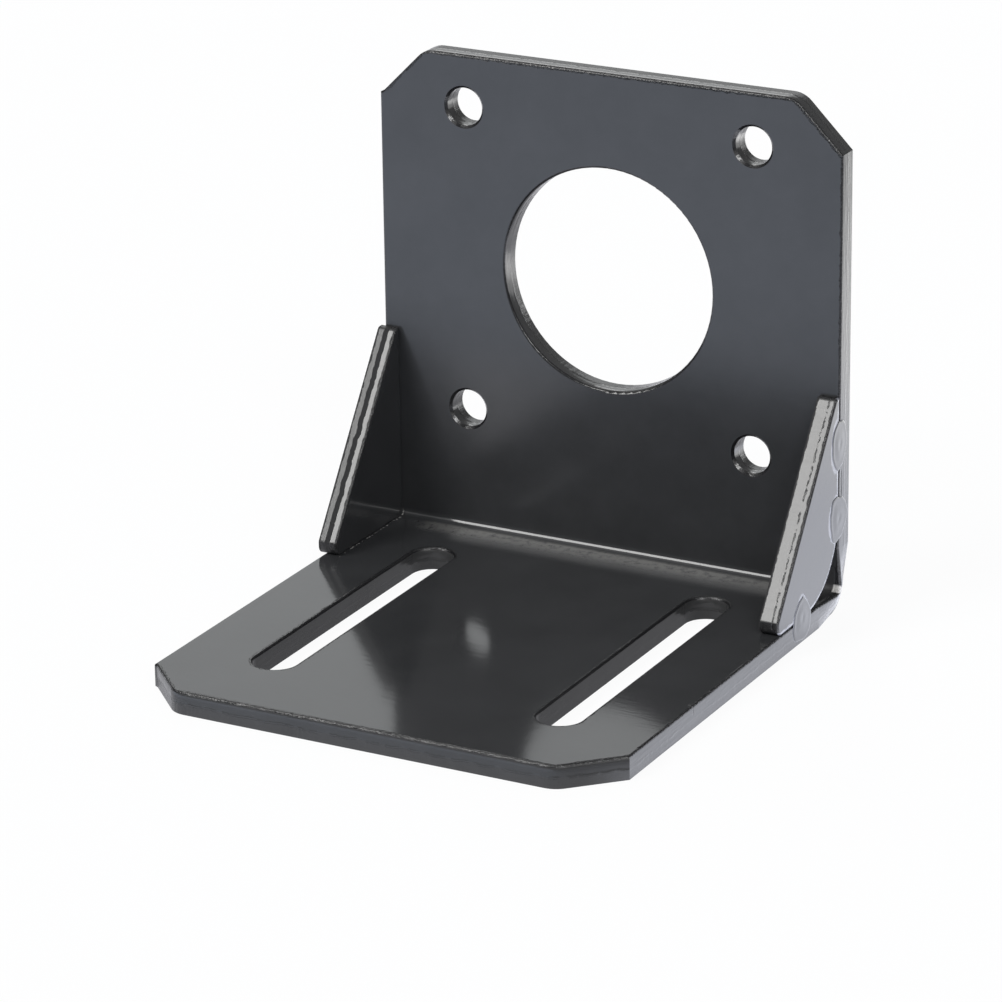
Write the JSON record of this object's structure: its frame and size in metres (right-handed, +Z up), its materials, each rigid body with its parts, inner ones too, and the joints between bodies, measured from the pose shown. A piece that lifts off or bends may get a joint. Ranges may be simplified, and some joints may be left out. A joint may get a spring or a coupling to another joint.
{
  "type": "motor mounting bracket",
  "caption": "Black painted folded-steel L bracket with welded corner gussets, a pilot hole and bolt square for a small stepper motor, and long mounting slots in its base.",
  "frame": {"origin": "centre of the base's footprint, on its underside", "axes": "+Z up, +Y from the base's free edge towards the upright, +X to the right seen from the open side"},
  "size_m": [0.0506, 0.052, 0.051],
  "materials": {
    "black_paint": "gloss"
  },
  "bodies": {
    "root": {"angle_plate": "black_paint", "left_gusset": "black_paint", "right_gusset": "black_paint", "left_tack_welds": "black_paint", "right_tack_welds": "black_paint"}
  },
  "joints": []
}
